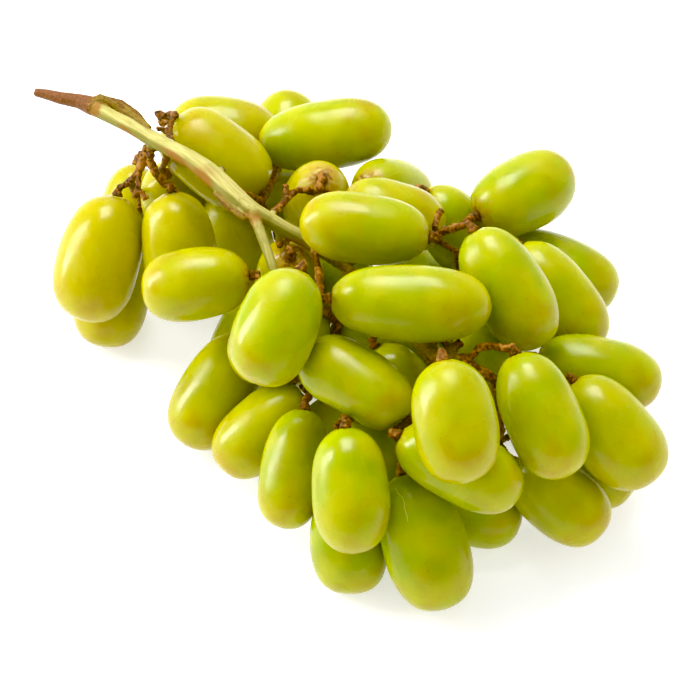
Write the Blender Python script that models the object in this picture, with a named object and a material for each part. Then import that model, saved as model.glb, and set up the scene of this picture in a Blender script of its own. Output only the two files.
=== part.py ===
"""A bunch of long green table grapes, lying on a flat surface.

Every grape is a solid of its own. The stalk is one solid, because it grew as one piece: the woody
peduncle, the rachis that runs on from it, the side branches, and the short pedicel of each grape.
Lengths are in millimetres until the objects are placed, in Blender's metres.

The grapes that face the front are placed by sight. A board stands behind the bunch, square to a
line of sight that comes down onto the table, and a grape is given by the place where its middle
shows on the board and by its height above the table. The grapes of the hidden sides are drawn at
random, with a seed, where there is room. Then touching grapes push each other apart, and each
keeps to its line of sight.
"""

import math
import random

import bmesh
import bpy
import numpy as np
from mathutils import Matrix, Vector

MM = 0.001  # one millimetre in Blender's metres

# The sighting board and the eye in front of it.
SIGHT_ELEVATION = math.radians(45.0)
EYE_DISTANCE = 800.0
BOARD_MIDDLE = np.array((0.0, 0.0, 30.0))
BOARD_RIGHT = np.array((1.0, 0.0, 0.0))
BOARD_UP = np.array((0.0, math.sin(SIGHT_ELEVATION), math.cos(SIGHT_ELEVATION)))
TOWARDS_EYE = np.array((0.0, -math.cos(SIGHT_ELEVATION), math.sin(SIGHT_ELEVATION)))
EYE = BOARD_MIDDLE + EYE_DISTANCE * TOWARDS_EYE

# Grapes by sight, one a row: across and rise on the board, height above the table, heading of the
# blossom end on the board (0 right, 90 up), its lean towards the eye, length and width.
SEEN_GRAPES = (
    # the wing on the left
    (-62.4, 23.0, 27, -105, 0, 33.0, 21.8),
    (-59.5, 15.0, 12, -98, 0, 30.0, 20.0),
    (-42.5, 25.0, 34, -82, -10, 30.0, 19.5),
    (-38.5, 16.5, 44, -171, 0, 27.0, 18.4),
    (-54.0, 33.8, 16, -95, 0, 27.0, 17.0),
    (-43.0, 36.5, 34, -70, -60, 30.0, 19.0),
    # the back, behind the rachis
    (-34.0, 48.0, 52, -38, -5, 33.5, 21.0),
    (-31.5, 54.0, 36, -10, 0, 30.0, 20.0),
    (-16.9, 52.5, 24, 75, -20, 28.0, 18.5),
    (-6.3, 53.8, 38, 8, 5, 35.0, 18.5),
    (-28.5, 26.8, 24, -72, 0, 29.0, 19.5),
    (-8.0, 37.8, 36, -105, -72, 30.0, 17.5),
    (10.5, 39.6, 34, -10, -58, 27.0, 17.5),
    (10.8, 34.0, 46, -18, -10, 27.0, 17.0),
    (-15.5, 37.5, 30, 170, 0, 28.0, 18.0),
    # the top of the bunch
    (3.8, 30.5, 60, 173, 0, 32.0, 17.8),
    (15.0, 11.8, 60, -3, 0, 38.5, 18.8),
    (-18.0, 5.8, 58, -111, 8, 29.0, 20.0),
    (1.3, -8.8, 43, -36, 12, 31.0, 19.5),
    # the left slope, down to the table
    (-33.5, -10.3, 18, -119, 0, 31.0, 19.5),
    (-22.0, -19.8, 20, -136, 0, 28.0, 18.0),
    (-14.0, -29.6, 17, -100, 10, 29.5, 17.0),
    (0.0, -35.0, 33, -86, 5, 30.0, 18.7),
    (-0.3, -47.5, 12, -85, 0, 26.0, 19.0),
    (18.5, -47.8, 16, -73, 0, 34.0, 21.0),
    # the lower end
    (26.0, -17.8, 46, -80, 5, 29.0, 20.0),
    (47.8, -16.3, 44, -67, 5, 31.5, 18.8),
    (27.3, -29.0, 30, -26, 0, 32.0, 18.0),
    (30.3, -40.0, 12, -15, 0, 25.0, 17.5),
    (52.0, -36.8, 15, -38, 0, 28.0, 18.5),
    (65.8, -20.3, 26, -51, 0, 31.0, 20.5),
    (62.0, -5.6, 32, -13, 0, 31.5, 18.0),
    (59.0, -28.5, 12, -30, 0, 27.0, 18.0),
    # the right slope
    (39.5, 15.5, 52, -59, 0, 32.5, 19.0),
    (51.8, 13.3, 40, -52, 0, 32.0, 18.5),
    (52.5, 20.0, 28, -24, 0, 31.5, 18.0),
    (43.0, 39.3, 45, 27, -25, 29.5, 19.4),
    (26.3, 29.8, 38, -50, -30, 28.0, 18.0),
    # deep ones, which show through the gaps
    (-26.0, 1.0, 13, -110, 0, 28.0, 18.0),
    (-15.0, 18.5, 34, -95, -70, 28.0, 17.5),
    (-0.8, 16.0, 27, -80, -45, 27.0, 17.0),
    (7.0, 2.5, 32, -15, 0, 26.0, 17.0),
    (9.5, -26.3, 24, -30, -20, 27.0, 18.0),
    (35.0, -3.0, 32, -70, -10, 28.0, 18.5),
    (13.0, -10.8, 32, -60, -10, 27.0, 18.0),
)

# Grapes of the hidden sides, drawn where there is most room under and behind the seen ones.
HIDDEN_SEED = 11
HIDDEN_COUNT = 11
HIDDEN_LENGTH = 28.0
HIDDEN_WIDTH = 18.5
HIDDEN_LEVELS = (11.0, 27.0)  # heights above the table
HIDDEN_INSET = 9.0  # how far inside the bunch's outline they stay
HIDDEN_ROOM = 13.5  # the least distance to the middle of another grape
HIDDEN_MARGIN = 0.5  # how much wider than itself the seen grapes must cover one
HIDDEN_TRIES = 12
LATTICE_STEP = 6.0

# The skin of a grape is a barrel: a superellipse of this power, turned about its long axis.
BARREL_POWER = 2.55
TAPER = 0.06  # how much wider it is towards the blossom end, and narrower towards the stem end
MOST_BOW = 0.7  # how far the middle of a grape may bow out of line
GRAPE_SIDES = 12
GRAPE_BANDS = 9
HILUM_RADIUS = 2.1  # the small flat at the stem end, where the pedicel sits
HILUM_DEPTH = 0.35
SHAPE_SEED = 5

TOUCH_GAP = 0.3  # left between two pieces that touch
PRESS_ALLOWED = 0.6  # two touching grapes flatten each other by up to this much
TABLE_PRESS = 0.6  # and the table flattens a grape by this much

# The stalk by sight: across, rise, height above the table, radius.
RACHIS = (
    (-78.8, 64.5, 62, 1.1),
    (-76.3, 64.0, 62, 1.4),
    (-72.5, 63.0, 62, 1.6),
    (-68.0, 62.3, 62, 2.0),
    (-65.0, 61.3, 62, 2.4),
    (-60.0, 58.5, 62, 1.9),
    (-55.0, 56.1, 62, 1.9),
    (-50.0, 53.1, 61, 2.1),
    (-45.0, 50.5, 61, 2.2),
    (-40.0, 47.8, 61, 2.4),
    (-35.8, 44.8, 60, 2.8),
    (-32.0, 41.5, 59, 2.8),
    (-27.5, 37.3, 58, 2.4),
    (-23.8, 34.3, 56, 2.4),
    (-20.0, 32.3, 54, 2.1),
    (-15.0, 29.5, 51, 2.0),
    (-10.0, 26.8, 48, 1.9),
    (-5.0, 23.3, 46, 1.7),
    (-1.3, 20.8, 44, 1.5),
    (6.0, 15.0, 41, 1.5),
    (13.0, 8.0, 42, 1.7),
    (18.8, 0.8, 46, 2.1),
    (21.5, -1.8, 48, 2.2),
    (25.0, -2.0, 50, 2.0),
    (28.8, -3.2, 50, 1.4),
    (36.3, -7.5, 46, 1.2),
    (43.0, -12.0, 40, 1.1),
    (49.0, -18.0, 34, 1.0),
)
SHOOT = (  # the side shoot that arches over the peduncle from its knuckle
    (-65.5, 61.3, 62.5, 1.5),
    (-62.5, 62.3, 63, 1.8),
    (-57.5, 61.3, 62.5, 1.5),
    (-53.5, 58.8, 62, 1.2),
    (-50.2, 55.3, 61.5, 0.9),
)
WING = (  # to the grapes on the left
    (-47.0, 52.0, 60, 1.4),
    (-50.6, 50.2, 57, 1.5),
    (-51.6, 47.5, 54.5, 1.3),
    (-53.0, 44.5, 52, 1.0),
    (-55.0, 42.0, 49.5, 0.9),
)
WING_FORK = (
    (-52.6, 45.3, 52.5, 0.8),
    (-53.0, 41.5, 50.5, 0.8),
    (-53.2, 39.8, 49.5, 0.9),
    (-54.0, 38.0, 48.5, 0.6),
)
WING_FORK_TIP = (
    (-53.2, 40.2, 49.8, 0.7),
    (-52.0, 39.3, 49.2, 0.6),
    (-51.0, 37.8, 48.5, 0.7),
)
WING_STUB = (
    (-50.9, 50.0, 56.5, 0.9),
    (-49.5, 48.3, 57.0, 1.0),
)
WING_NUB = (
    (-51.2, 49.0, 56.0, 0.8),
    (-53.0, 49.3, 56.0, 0.5),
)
FAR_STUB = (  # bare pedicels behind the rachis
    (-44.5, 50.8, 60.8, 1.2),
    (-45.0, 53.0, 58.5, 1.1),
    (-45.3, 54.5, 57.5, 1.0),
    (-44.6, 57.0, 57.5, 0.8),
    (-43.5, 58.8, 58.0, 0.9),
)
FAR_STUB_FORK = (
    (-45.3, 54.6, 57.5, 0.9),
    (-47.0, 55.2, 57.5, 0.8),
    (-48.3, 55.2, 57.5, 0.6),
)
KNOB = (  # a bare scar on the upper side of the rachis
    (-33.5, 43.0, 60, 1.4),
    (-31.6, 45.4, 60.5, 0.9),
)
BRACT = (  # a thin dry scale along the lower side
    (-34.0, 39.3, 58, 0.5),
    (-30.0, 35.3, 57, 0.9),
    (-26.0, 32.6, 56, 0.7),
)
BACK = (
    (-30.0, 40.5, 57),
    (-24.0, 44.0, 50),
    (-20.0, 46.0, 42),
    (-16.0, 47.0, 36),
)
FRONT = (  # the pale branch that forks off to the front
    (-24.5, 33.8, 56, 1.8),
    (-23.0, 31.0, 55, 1.5),
    (-21.3, 26.3, 52, 1.35),
    (-19.5, 21.3, 49, 1.3),
    (-18.0, 16.3, 45.5, 1.3),
    (-17.5, 13.5, 43, 1.3),
)
FRONT_DEEP = (  # and goes on under the grapes
    (-17.6, 14.5, 44),
    (-17.5, 7.0, 39),
    (-15.0, -2.0, 31),
    (-11.0, -11.0, 24),
    (-7.0, -19.0, 20),
)
CROWN = (
    (-19.8, 33.5, 54, 1.0),
    (-17.5, 36.0, 53, 0.9),
    (-16.0, 37.6, 52, 0.95),
    (-14.5, 39.0, 51.5, 0.9),
    (-13.0, 40.0, 51, 0.8),
    (-11.3, 39.8, 50.5, 0.75),
    (-8.8, 39.0, 50, 0.8),
)
CROWN_STUB = (
    (-16.1, 37.2, 52, 0.8),
    (-16.0, 39.5, 52.5, 0.8),
    (-16.0, 41.1, 52.5, 0.9),
)
CROWN_NUB = (
    (-11.5, 39.6, 50.5, 0.6),
    (-10.2, 40.3, 52.0, 0.8),
)
RIGHT = (
    (-2.5, 21.6, 44.5, 1.3),
    (6.0, 24.0, 46, 1.2),
    (13.0, 26.5, 47, 1.1),
    (18.5, 27.0, 48, 1.1),
    (21.3, 28.6, 53, 1.2),
    (21.2, 31.0, 56, 0.9),
    (22.0, 33.7, 57, 0.8),
    (22.9, 35.0, 57.5, 1.0),
)
RIGHT_TWIG = (
    (21.1, 28.2, 52.5, 1.0),
    (22.7, 26.9, 54, 1.0),
    (25.0, 25.5, 53.5, 0.9),
    (26.8, 24.4, 53, 0.8),
)
FAR = (
    (13.0, 8.0, 42),
    (24.0, 11.0, 36),
    (34.0, 14.0, 31),
    (41.0, 17.0, 28),
)
LOWER = (
    (20.5, -1.0, 47),
    (22.5, -9.0, 38),
    (23.0, -18.0, 30),
    (20.0, -26.0, 24),
)
KNOT_STUB = (
    (24.5, -1.5, 50, 1.2),
    (26.3, 0.5, 51, 1.1),
    (27.8, 2.0, 51.5, 1.2),
)
DEEP_TWIG = (
    (35.8, -7.2, 46, 0.9),
    (36.6, -11.0, 43, 0.8),
    (37.3, -15.5, 40, 0.8),
    (37.9, -20.0, 37, 0.8),
)
BRANCHES = (
    SHOOT,
    WING,
    WING_FORK,
    WING_FORK_TIP,
    WING_STUB,
    WING_NUB,
    FAR_STUB,
    FAR_STUB_FORK,
    KNOB,
    BRACT,
    FRONT,
    CROWN,
    CROWN_STUB,
    CROWN_NUB,
    RIGHT,
    RIGHT_TWIG,
    KNOT_STUB,
    DEEP_TWIG,
)
DEEP_BRANCHES = (BACK, FRONT_DEEP, FAR, LOWER)  # across, rise and height alone
DEEP_RADIUS = 1.2

# Pedicels that show, by sight, from their root to just before the grape: number of the grape
# (counted from 1 in the table above), then across, rise and height.
PEDICEL_ROUTES = {
    1: ((-53.6, 43.6, 51.0), (-55.0, 42.3, 48.5), (-56.2, 41.3, 46.0)),
    3: ((-50.8, 49.0, 56.0), (-49.6, 46.3, 54.0), (-48.0, 43.2, 52.0), (-46.5, 41.3, 50.0)),
    4: ((-18.0, 16.3, 45.5), (-21.0, 13.4, 44.5), (-23.0, 15.5, 45.0)),
    6: ((-46.8, 51.0, 60.0), (-45.6, 48.5, 52.0), (-46.0, 46.0, 44.0)),
    12: ((-9.5, 39.2, 50.2), (-7.8, 40.5, 52.5)),
    17: ((-9.0, 25.5, 47.5), (-8.0, 20.5, 50.5), (-7.6, 16.5, 56.0)),
    27: ((25.5, -2.0, 50.5), (30.3, -1.8, 51.5), (32.3, 0.6, 53.0), (35.5, 1.1, 54.5), (39.0, 0.3, 55.5)),
    34: ((21.3, 28.9, 53.5), (23.8, 29.3, 56.5), (26.8, 30.3, 60.5)),
    37: ((21.3, 29.2, 54.0), (24.5, 30.3, 51.0), (28.0, 31.2, 48.0)),
    40: ((-17.9, 29.8, 52.0), (-17.5, 26.0, 48.0), (-15.8, 24.8, 44.5)),
}
BRANCH_RESOLUTION = 2  # eight sides
PEDICEL_RESOLUTION = 1  # six sides

# The pedicel of a grape runs from the nearest branch to the grape's stem end.
PEDICEL_RADIUS = 0.95
PEDICEL_KNOB_RADIUS = 1.7  # the warty knob that carries the grape
BEND_SPACING = 4.0  # a hidden line may bend this often
BEND_LEAST = 0.5  # and keeps the bends that are worth more than this
PEDICEL_LEAD = 2.4  # it meets the grape in line with its axis from this far
PEDICEL_CLEARANCE = 0.35
SMOOTHING = 0.12  # how firmly a hidden line keeps straight
TUCK = 0.8  # how fast a point that the eye can see goes behind the grapes

SKIN_COLOUR = (0.60, 0.62, 0.06, 1.0)
SKIN_ROUGHNESS = 0.32
STALK_COLOUR = (0.50, 0.33, 0.10, 1.0)
STALK_ROUGHNESS = 0.65


def board_point(across, rise):
    """A point of the board, measured from its middle."""
    return BOARD_MIDDLE + across * BOARD_RIGHT + rise * BOARD_UP


def by_sight(across, rise, height):
    """The point at that height on the line from the eye to a point of the board."""
    end = board_point(across, rise)
    share = (EYE[2] - height) / (EYE[2] - end[2])
    return EYE + share * (end - EYE)


def on_board(point):
    """Where a point shows on the board, and how far it lies from the eye along the sight."""
    offset = np.asarray(point, float) - EYE
    depth = -(offset @ TOWARDS_EYE)
    return offset @ BOARD_RIGHT * EYE_DISTANCE / depth, offset @ BOARD_UP * EYE_DISTANCE / depth, depth


def shows_over(row, x, y):
    """Whether a seen grape covers a place on the board."""
    across, rise, _, heading, lean, length, width = row
    turn = math.radians(heading)
    reach = (length - width) / 2 * math.cos(math.radians(lean))
    along = (x - across) * math.cos(turn) + (y - rise) * math.sin(turn)
    along = max(-reach, min(reach, along))
    return math.hypot(x - across - along * math.cos(turn), y - rise - along * math.sin(turn)) < width / 2


def heading_by_sight(heading, lean):
    """The unit direction that shows on the board at heading and leans towards the eye."""
    turn, tilt = math.radians(heading), math.radians(lean)
    flat = math.cos(turn) * BOARD_RIGHT + math.sin(turn) * BOARD_UP
    return math.cos(tilt) * flat + math.sin(tilt) * TOWARDS_EYE


def branch_line(rows):
    """A branch as rows of x, y, z and radius."""
    return np.array([(*by_sight(*row[:3]), row[3]) for row in rows])


def beads_along(line):
    """Spheres close together that fill a line of x, y, z and radius."""
    spacing = 1.2
    beads = [line[-1]]
    for a, b in zip(line, line[1:]):
        count = max(1, math.ceil(np.linalg.norm(b[:3] - a[:3]) / spacing))
        beads += [a + t * (b - a) for t in np.arange(count) / count]
    beads = np.array(beads)
    return beads[:, :3], beads[:, 3]


def inner_spheres(half, radius, count):
    """Places on a barrel's long axis, and radii, of spheres that fill it from end to end."""
    share = np.linspace(-1, 1, 121)
    girth = radius * (1 - np.abs(share) ** BARREL_POWER) ** (1 / BARREL_POWER)
    along = np.linspace(0, half, 101)
    room = np.hypot(share[None] * half - along[:, None], girth[None]).min(axis=1)
    last = along[room > half - along - 0.1].min()
    links = np.linspace(-last, last, count)
    return links, np.interp(np.abs(links), along, room)


class Bunch:
    """The grapes' middles, unit axes towards the blossom end, half lengths and radii."""

    CHAIN = 7  # a grape is judged by a chain of spheres that fills it

    def __init__(self):
        self.middle, self.axis, self.half, self.radius = [], [], [], []
        for across, rise, height, heading, lean, length, width in SEEN_GRAPES:
            self.add(by_sight(across, rise, height), heading_by_sight(heading, lean), length, width)
        self.seen = len(self.middle)
        self.add_hidden()
        self.middle, self.axis = np.array(self.middle), np.array(self.axis)
        self.half, self.radius = np.array(self.half), np.array(self.radius)
        links = [inner_spheres(half, radius, self.CHAIN) for half, radius in zip(self.half, self.radius)]
        self.link_along = np.array([link[0] for link in links])
        self.link_radius = np.array([link[1] for link in links])

    def add(self, middle, axis, length, width):
        self.middle.append(np.asarray(middle, float))
        self.axis.append(np.asarray(axis, float))
        self.half.append(length / 2)
        self.radius.append(width / 2)

    def add_hidden(self):
        """Fills the under and back sides: each new grape goes where there is most room."""
        draw = random.Random(HIDDEN_SEED)
        heart = np.mean(self.middle, axis=0)
        middles = list(self.middle)
        spots = hidden_spots(middles)
        while spots and len(middles) < self.seen + HIDDEN_COUNT:
            room = [min(np.linalg.norm(spot - middle) for middle in middles) for spot in spots]
            best = int(np.argmax(room))
            if room[best] < HIDDEN_ROOM:
                break
            spot = spots.pop(best)
            size = draw.uniform(0.94, 1.06)
            length, width = HIDDEN_LENGTH * size, HIDDEN_WIDTH * size
            for _ in range(HIDDEN_TRIES):
                outward = math.atan2(spot[1] - heart[1], spot[0] - heart[0]) + draw.uniform(-1.0, 1.0)
                dip = draw.uniform(-0.4, 0.2)
                level = math.cos(dip)
                axis = np.array((math.cos(outward) * level, math.sin(outward) * level, math.sin(dip)))
                if self.covers(spot, axis, length / 2, width / 2):
                    middles.append(spot)
                    self.add(spot, axis, length, width)
                    break

    def covers(self, middle, axis, half, radius):
        """Whether the seen grapes hide such a grape from the eye."""
        reach = half - radius
        for along in (-reach, 0.0, reach):
            across, rise, _ = on_board(middle + along * axis)
            for turn in np.arange(8) * math.pi / 4:
                x = across + (radius + HIDDEN_MARGIN) * math.cos(turn)
                y = rise + (radius + HIDDEN_MARGIN) * math.sin(turn)
                if not any(shows_over(row, x, y) for row in SEEN_GRAPES):
                    return False
        return True

    def chain(self):
        """The middles and radii of the spheres that fill each grape."""
        return self.middle[:, None, :] + self.axis[:, None, :] * self.link_along[..., None], self.link_radius

    def stem_end(self, i):
        """The middle of the flat where a grape's pedicel sits."""
        return self.middle[i] - self.axis[i] * (self.half[i] - HILUM_DEPTH)


def outline_in_plan(points):
    """The convex outline of points seen from above, anticlockwise."""
    ordered = sorted((point[0], point[1]) for point in points)

    def lower_side(run):
        kept = []
        for p in run:
            while len(kept) > 1:
                (ax, ay), (bx, by) = kept[-2:]
                if (bx - ax) * (p[1] - ay) > (by - ay) * (p[0] - ax):
                    break
                kept.pop()
            kept.append(p)
        return kept[:-1]

    return lower_side(ordered) + lower_side(ordered[::-1])


def depth_inside(outline, x, y):
    """How far a point lies inside a convex outline."""
    depths = []
    for (ax, ay), (bx, by) in zip(outline, outline[1:] + outline[:1]):
        turn = (bx - ax) * (y - ay) - (by - ay) * (x - ax)
        depths.append(turn / math.hypot(bx - ax, by - ay))
    return min(depths)


def hidden_spots(middles):
    """The lattice points where a hidden grape may go, level by level."""
    outline = outline_in_plan(middles)
    low, high = np.min(middles, axis=0), np.max(middles, axis=0)
    spots = []
    for level in HIDDEN_LEVELS:
        for x in np.arange(low[0], high[0], LATTICE_STEP):
            for y in np.arange(low[1], high[1], LATTICE_STEP):
                if depth_inside(outline, x, y) > HIDDEN_INSET:
                    spots.append(np.array((x, y, level)))
    return spots


def closest_links(points, radii):
    """For each pair of grapes: how far they overlap, and the links of their chains that do."""
    count, links = radii.shape
    flat, size = points.reshape(-1, 3), radii.reshape(-1)
    square = (flat**2).sum(axis=1)
    gap = np.sqrt(np.maximum(square[:, None] + square[None, :] - 2 * flat @ flat.T, 0))
    over = (size[:, None] + size[None, :] - gap).reshape(count, links, count, links)
    over = over.transpose(0, 2, 1, 3).reshape(count, count, -1)
    best = over.argmax(axis=2)
    return np.take_along_axis(over, best[..., None], 2)[..., 0], best // links, best % links


def settle(bunch, bead_points, bead_radii):
    """Pushes overlapping grapes apart, off the branches and up from the table."""
    steps = 420
    hold = 0.38  # how firmly a seen grape keeps to its line of sight
    ease = 0.6
    count = len(bunch.middle)
    sights = bunch.middle[: bunch.seen] - EYE
    sights /= np.linalg.norm(sights, axis=1, keepdims=True)
    for _ in range(steps):
        points, radii = bunch.chain()
        over, own, other = closest_links(points, radii)
        move = np.zeros((count, 3))
        for i, j in zip(*np.where(np.triu(over > PRESS_ALLOWED, 1))):
            away = points[j, other[i, j]] - points[i, own[i, j]]
            away /= max(np.linalg.norm(away), 1e-6)
            push = 0.5 * (over[i, j] - PRESS_ALLOWED) * away
            move[i] -= push
            move[j] += push
        for i in range(count):
            gap = points[i, :, None, :] - bead_points[None]
            distance = np.linalg.norm(gap, axis=2)
            inside = radii[i, :, None] + bead_radii[None] + TOUCH_GAP - distance
            link, bead = np.unravel_index(inside.argmax(), inside.shape)
            if inside[link, bead] > 0:
                move[i] += 0.6 * inside[link, bead] * gap[link, bead] / max(distance[link, bead], 1e-6)
        bunch.middle += ease * move
        offset = bunch.middle[: bunch.seen] - EYE
        along = (offset * sights).sum(axis=1, keepdims=True) * sights
        bunch.middle[: bunch.seen] -= hold * (offset - along)
        points, radii = bunch.chain()
        sunk = (radii - TABLE_PRESS - points[..., 2]).max(axis=1)
        bunch.middle[:, 2] += np.maximum(sunk, 0)


def in_sight(points, sphere_points, sphere_radii):
    """Whether the eye can see each point past the spheres."""
    across, rise, depth = on_board(points)
    sphere_across, sphere_rise, sphere_depth = on_board(sphere_points)
    apart = np.hypot(across[:, None] - sphere_across[None], rise[:, None] - sphere_rise[None])
    covers = (apart < sphere_radii[None] - 1) & (sphere_depth[None] < depth[:, None])
    return ~covers.any(axis=1)


def bend_clear(line, radius, bunch, held, smoothing, tuck):
    """Moves the points of a line, but for its root and the held ones at its end.

    They go out of every grape, and behind the grapes as far as tuck says."""
    points, radii = bunch.chain()
    sphere_points, sphere_radii = points.reshape(-1, 3), radii.reshape(-1)
    steps, last_steps = 260, 40
    line = line.copy()
    free = np.arange(1, len(line) - held)
    after = np.minimum(free + 1, len(line) - 1)
    rows = np.arange(len(free))
    for step in range(steps):
        if step < steps - last_steps:
            seen = in_sight(line[free], sphere_points, sphere_radii)
            line[free] += smoothing * ((line[free - 1] + line[after]) / 2 - line[free])
            line[free] -= tuck * seen[:, None] * TOWARDS_EYE
        gap = line[free, None, :] - sphere_points[None]
        distance = np.linalg.norm(gap, axis=2)
        inside = sphere_radii[None] + radius + PEDICEL_CLEARANCE - distance
        worst = inside.argmax(axis=1)
        depth = np.maximum(inside[rows, worst], 0)
        away = gap[rows, worst] / np.maximum(distance[rows, worst], 1e-6)[:, None]
        line[free] += 0.7 * depth[:, None] * away
        line[free, 2] = np.maximum(line[free, 2], radius + TOUCH_GAP)
    return line


def fine_line(places):
    """Points a short way apart along a line through places."""
    line = [places[0]]
    for a, b in zip(places, places[1:]):
        count = math.ceil(np.linalg.norm(b - a) / BEND_SPACING)
        line += [a + (b - a) * (k + 1) / count for k in range(count)]
    return np.array(line)


def thinned(line, held):
    """Leaves out the points that hardly bend a line, but for the held ones at its end."""
    kept = [line[0]]
    for k in range(1, len(line) - held):
        after = line[min(k + 1, len(line) - 1)]
        chord = after - kept[-1]
        off = line[k] - kept[-1] - chord * ((line[k] - kept[-1]) @ chord) / max(chord @ chord, 1e-9)
        if k == len(line) - 1 or np.linalg.norm(off) > BEND_LEAST:
            kept.append(line[k])
    return np.vstack((kept, line[len(line) - held:]))


def deep_lines(bunch):
    """The branches under the grapes."""
    lines = []
    for rows in DEEP_BRANCHES:
        line = fine_line(np.array([by_sight(*row) for row in rows]))
        line = thinned(bend_clear(line, DEEP_RADIUS, bunch, 0, SMOOTHING, TUCK), 0)
        lines.append(np.column_stack((line, np.full(len(line), DEEP_RADIUS))))
    return lines


def pedicel_lines(bunch, branches):
    """For each grape a line from a stalk to its stem end, with radii."""
    anchors = np.vstack([line[1:, :3] for line in branches])
    leads = [bunch.stem_end(i) - bunch.axis[i] * PEDICEL_LEAD for i in range(len(bunch.middle))]
    reach = [np.linalg.norm(anchors - lead, axis=1).min() for lead in leads]
    lines = [None] * len(leads)
    for i in np.argsort(reach):
        if i + 1 in PEDICEL_ROUTES:
            route = [by_sight(*row) for row in PEDICEL_ROUTES[i + 1]]
            smoothing, tuck = 0.0, 0.0
        else:
            root = anchors[np.linalg.norm(anchors - leads[i], axis=1).argmin()]
            route = fine_line(np.array((root, leads[i])))[:-1]
            smoothing, tuck = SMOOTHING, TUCK
        end = bunch.stem_end(i) - bunch.axis[i] * TOUCH_GAP
        bent = bend_clear(np.vstack((route, leads[i], end)), PEDICEL_RADIUS, bunch, 2, smoothing, tuck)
        line = thinned(bent, 2)
        girth = np.full(len(line), PEDICEL_RADIUS)
        girth[-1] = PEDICEL_KNOB_RADIUS
        lines[i] = np.column_stack((line, girth))
        anchors = np.vstack((anchors, bent[1: len(bent) // 2]))
    return lines


def flats_of(bunch, branches, pedicels):
    """For each grape the planes that its neighbours, the stalk and the table press on it."""
    reach = 1.6  # a neighbour this near may press
    points, radii = bunch.chain()
    over, own, other = closest_links(points, radii)
    flats = [[(np.zeros(3), np.array((0.0, 0.0, -1.0)))] for _ in bunch.middle]
    for i, j in zip(*np.where(np.triu(over > -reach, 1))):
        a, b = points[i, own[i, j]], points[j, other[i, j]]
        away = (b - a) / np.linalg.norm(b - a)
        middle = a + away * (radii[i, own[i, j]] - over[i, j] / 2)
        flats[i].append((middle - away * TOUCH_GAP / 2, away))
        flats[j].append((middle + away * TOUCH_GAP / 2, -away))
    for i in range(len(flats)):
        for k, line in enumerate(branches + pedicels):
            beads, girths = beads_along(line)
            if k == len(branches) + i:
                far = np.linalg.norm(beads - bunch.stem_end(i), axis=1) > PEDICEL_LEAD
                beads, girths = beads[far], girths[far]
            gap = beads[None] - points[i][:, None]
            distance = np.linalg.norm(gap, axis=2)
            clear = distance - girths[None] - radii[i][:, None]
            for m in np.where(clear.min(axis=0) < reach)[0]:
                link = clear[:, m].argmin()
                away = gap[link, m] / distance[link, m]
                flats[i].append((beads[m] - away * (girths[m] + TOUCH_GAP), away))
    return flats


def barrel_point(unit, half, radius, bow, side):
    """Turns a point of the unit sphere into a point of a grape that lies along Z."""
    around = math.hypot(unit.x, unit.y)
    stretch = (around**BARREL_POWER + abs(unit.z) ** BARREL_POWER) ** (-1 / BARREL_POWER)
    along, girth = unit.z * stretch, radius * around * stretch
    first_band = math.cos(math.pi / GRAPE_BANDS) - 1e-4
    if unit.z < -first_band:
        along = -1 + HILUM_DEPTH / half
        girth = min(girth, HILUM_RADIUS)
    girth *= 1 + TAPER * along
    bend = bow * (1 - along**2)
    turn = math.atan2(unit.y, unit.x)
    x = girth * math.cos(turn) + bend * math.cos(side)
    y = girth * math.sin(turn) + bend * math.sin(side)
    return Vector((x, y, along * half))


def grape_frame(axis):
    """Axes of a grape: Z to its blossom end, and the middle of one facet facing down."""
    axis = Vector(axis)
    down = (Vector((0, 0, -1)) + axis * axis.z).normalized()
    x = Matrix.Rotation(math.pi / GRAPE_SIDES, 3, axis) @ down
    return Matrix((x, axis.cross(x), axis)).transposed()


def pressed(point, flats):
    """Draws a point of the skin in towards the grape's middle, until no flat is crossed."""
    share = 1.0
    for distance, away in flats:
        reach = point.dot(away)
        if reach > distance:
            share = min(share, distance / reach)
    return point * share


def make_grape(name, bunch, i, flats, draw):
    """One grape, with its mesh in its own frame."""
    frame = grape_frame(bunch.axis[i])
    middle = Vector(bunch.middle[i])
    local = []
    for point, away in flats:
        away = Vector(away)
        local.append(((Vector(point) - middle).dot(away), frame.transposed() @ away))
    bow, side = draw.uniform(0, MOST_BOW), draw.uniform(0, 2 * math.pi)
    shape = bmesh.new()
    bmesh.ops.create_uvsphere(shape, u_segments=GRAPE_SIDES, v_segments=GRAPE_BANDS, radius=1)
    for vertex in shape.verts:
        skin = barrel_point(vertex.co, bunch.half[i], bunch.radius[i], bow, side)
        vertex.co = pressed(skin, local) * MM
    mesh = bpy.data.meshes.new(name)
    shape.to_mesh(mesh)
    shape.free()
    mesh.shade_smooth()
    grape = bpy.data.objects.new(name, mesh)
    grape.matrix_world = Matrix.Translation(middle * MM) @ frame.to_4x4()
    return grape


def tube(name, line, resolution):
    """A stalk along a line of x, y, z and radius, as a closed mesh object."""
    curve = bpy.data.curves.new(name, "CURVE")
    curve.dimensions = "3D"
    curve.bevel_depth = MM
    curve.bevel_resolution = resolution
    curve.use_fill_caps = True
    spline = curve.splines.new("POLY")
    spline.points.add(len(line) - 1)
    for point, (x, y, z, radius) in zip(spline.points, line):
        point.co = (x * MM, y * MM, z * MM, 1)
        point.radius = radius
    wire = bpy.data.objects.new(name, curve)
    bpy.context.scene.collection.objects.link(wire)
    mesh = bpy.data.meshes.new_from_object(wire.evaluated_get(bpy.context.evaluated_depsgraph_get()))
    bpy.data.objects.remove(wire)
    bpy.data.curves.remove(curve)
    shape = bmesh.new()
    shape.from_mesh(mesh)
    bmesh.ops.remove_doubles(shape, verts=shape.verts, dist=1e-6)
    shape.to_mesh(mesh)
    shape.free()
    return bpy.data.objects.new(name, mesh)


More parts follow.
